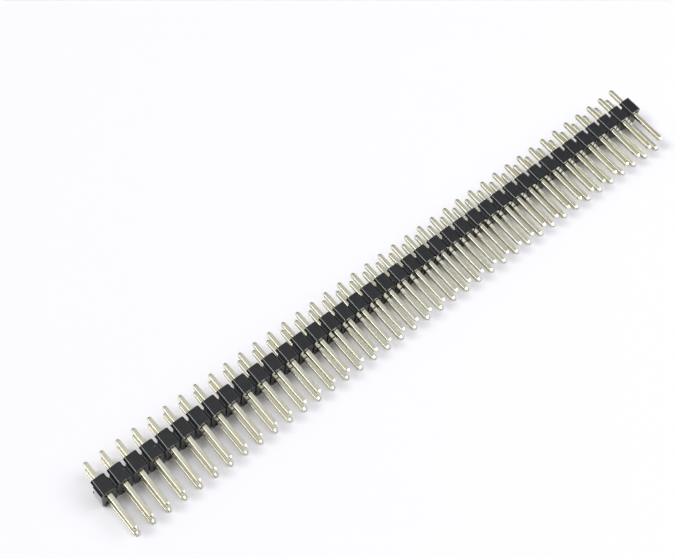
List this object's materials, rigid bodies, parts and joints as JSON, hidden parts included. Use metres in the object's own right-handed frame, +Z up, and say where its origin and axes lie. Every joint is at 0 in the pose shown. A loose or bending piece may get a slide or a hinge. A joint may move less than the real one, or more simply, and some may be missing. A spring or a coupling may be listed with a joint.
{
  "type": "pin header strip",
  "caption": "Straight pin header strip: break-off modules in one black insulator, with square plated pins pressed through it to join a circuit board to a socket.",
  "frame": {"origin": "middle of the strip's footprint, on the surface that it lies on", "axes": "+X along the strip, +Y from the contact tips towards the solder tails, +Z up from the surface; the pins slope up a few degrees towards +Y, because the strip lies on its side"},
  "size_m": [0.1014, 0.0116, 0.0048],
  "materials": {
    "insulator": "satin",
    "contacts": "satin"
  },
  "bodies": {
    "root": {"housing": "insulator", "pins_01": "contacts", "pins_02": "contacts", "pins_03": "contacts", "pins_04": "contacts", "pins_05": "contacts", "pins_06": "contacts", "pins_07": "contacts", "pins_08": "contacts", "pins_09": "contacts", "pins_10": "contacts", "pins_11": "contacts", "pins_12": "contacts", "pins_13": "contacts", "pins_14": "contacts", "pins_15": "contacts", "pins_16": "contacts", "pins_17": "contacts", "pins_18": "contacts", "pins_19": "contacts", "pins_20": "contacts", "pins_21": "contacts", "pins_22": "contacts", "pins_23": "contacts", "pins_24": "contacts", "pins_25": "contacts", "pins_26": "contacts", "pins_27": "contacts", "pins_28": "contacts", "pins_29": "contacts", "pins_30": "contacts", "pins_31": "contacts", "pins_32": "contacts", "pins_33": "contacts", "pins_34": "contacts", "pins_35": "contacts", "pins_36": "contacts", "pins_37": "contacts", "pins_38": "contacts", "pins_39": "contacts", "pins_40": "contacts"}
  },
  "joints": []
}
